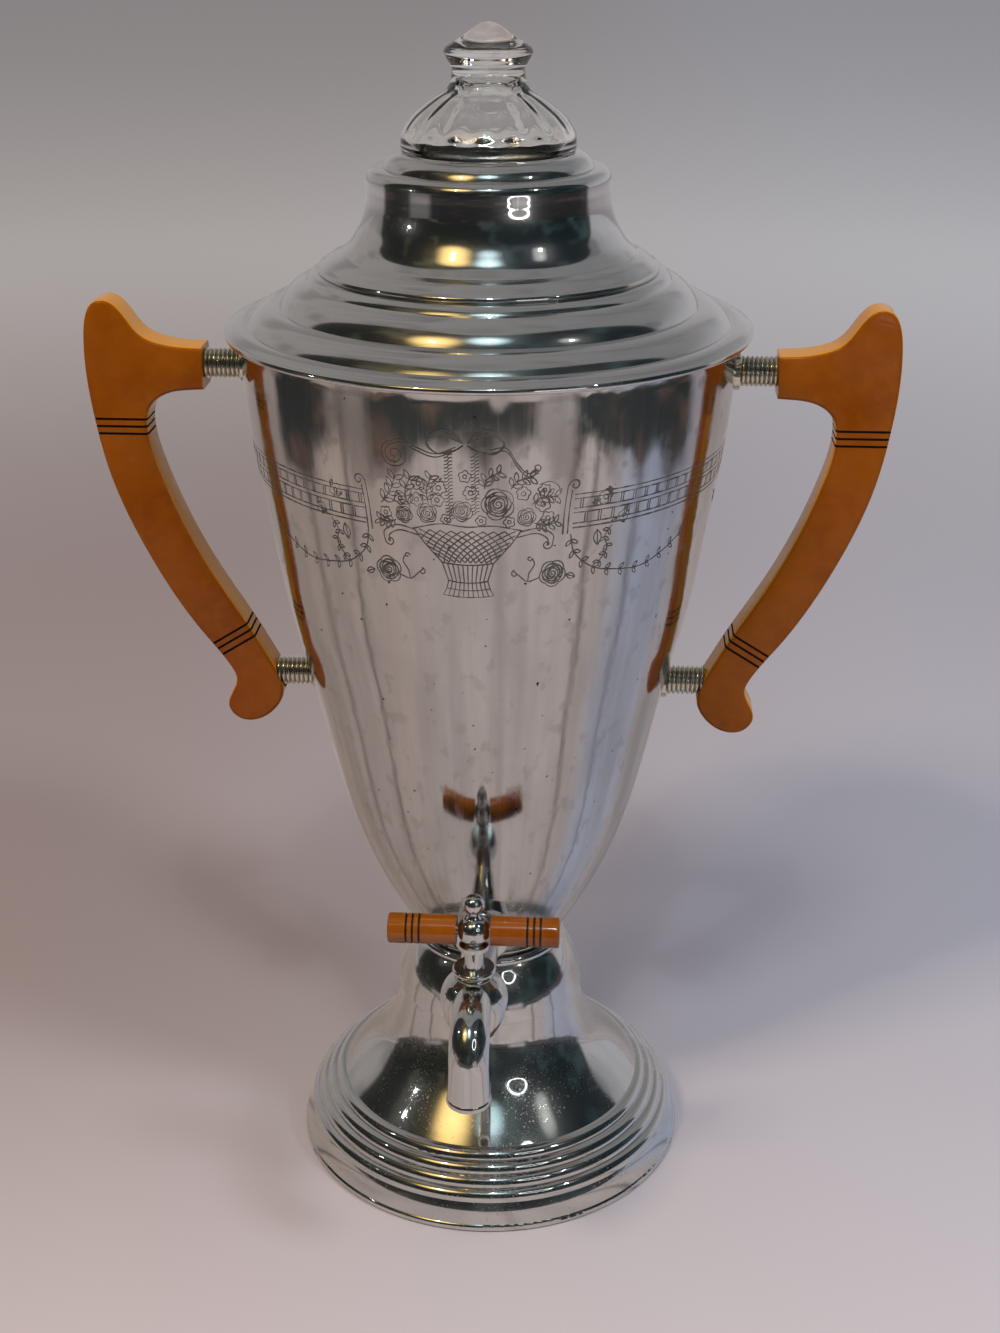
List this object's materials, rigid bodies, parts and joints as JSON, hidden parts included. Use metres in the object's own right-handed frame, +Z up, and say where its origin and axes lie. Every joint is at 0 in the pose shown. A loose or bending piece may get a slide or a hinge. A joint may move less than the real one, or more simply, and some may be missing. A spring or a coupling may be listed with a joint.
{
  "type": "coffee urn",
  "caption": "Trophy-shaped electric coffee urn in chromed metal, with cast resin side handles, a ribbed foot, a glass percolator top and a front tap turned by a T-shaped key.",
  "frame": {"origin": "centre of the circle that the foot rests on", "axes": "+Z up along the urn's axis; the tap points to -Y, the handles to +X and -X, the inlet to +Y"},
  "size_m": [0.2578, 0.19, 0.39],
  "materials": {
    "bright_chrome": "polished",
    "satin_chrome": "worn satin",
    "amber_resin": "glossy",
    "clear_glass": "polished",
    "plain_steel": "satin",
    "bare_brass": "satin",
    "spun_aluminium": "satin",
    "black_rubber": "matt",
    "white_ceramic": "matt"
  },
  "bodies": {
    "urn": {"pedestal": "bright_chrome", "junction_collar": "bright_chrome", "body_shell": "satin_chrome", "shoulder_cover": "bright_chrome", "handle_left": "amber_resin", "handle_right": "amber_resin", "handle_ferrules": "bright_chrome", "handle_screws": "plain_steel", "handle_washers": "plain_steel", "tap_body": "bright_chrome", "tap_saddle": "bright_chrome", "tap_gasket": "black_rubber", "tap_lock_nut": "bare_brass", "tap_packing": "black_rubber", "tap_bonnet": "bright_chrome", "heater_well": "bare_brass", "well_ring_nut": "plain_steel", "heating_element": "white_ceramic", "element_clamp_plate": "plain_steel", "centre_stud": "plain_steel", "clamp_nut": "plain_steel", "base_plate": "plain_steel", "base_nut": "plain_steel", "inlet_tunnel": "bright_chrome", "inlet_block": "white_ceramic", "inlet_pins": "bare_brass", "terminal_nuts": "plain_steel", "lead_wires": "bare_brass"},
    "tap_key": {"tap_plug": "bare_brass", "tap_disc": "bright_chrome", "tap_hub": "bright_chrome", "tap_finial": "bright_chrome", "tap_bar_left": "amber_resin", "tap_bar_right": "amber_resin", "tap_cross_rod": "plain_steel"},
    "lid": {"lid_shell": "bright_chrome", "lid_skirt": "plain_steel", "glass_collar": "bright_chrome"},
    "glass": {"glass_top": "clear_glass"},
    "pump": {"pump_foot": "spun_aluminium", "pump_tube": "spun_aluminium", "basket_stop": "spun_aluminium"},
    "valve": {"valve_disc": "spun_aluminium"},
    "basket": {"coffee_basket": "spun_aluminium"},
    "spreader": {"spreader_plate": "spun_aluminium"}
  },
  "joints": [
    {"name": "tap_turn", "type": "hinge", "parent": "urn", "child": "tap_key", "pos_m": [0, -0.076, 0.1247], "axis": [0, 0, 1], "range_deg": [0, 90]},
    {"name": "lid_lift", "type": "slide", "parent": "urn", "child": "lid", "axis": [0, 0, 1], "range_m": [0, 0.08]},
    {"name": "glass_twist", "type": "hinge", "parent": "lid", "child": "glass", "pos_m": [0, 0, 0.352], "axis": [0, 0, 1], "range_deg": [0, 90]},
    {"name": "pump_lift", "type": "slide", "parent": "urn", "child": "pump", "axis": [0, 0, 1], "range_m": [0, 0.006]},
    {"name": "valve_lift", "type": "slide", "parent": "pump", "child": "valve", "axis": [0, 0, 1], "range_m": [0, 0.0016]},
    {"name": "basket_lift", "type": "slide", "parent": "pump", "child": "basket", "axis": [0, 0, 1], "range_m": [0, 0.006]},
    {"name": "spreader_lift", "type": "slide", "parent": "basket", "child": "spreader", "axis": [0, 0, 1], "range_m": [0, 0.006]}
  ]
}
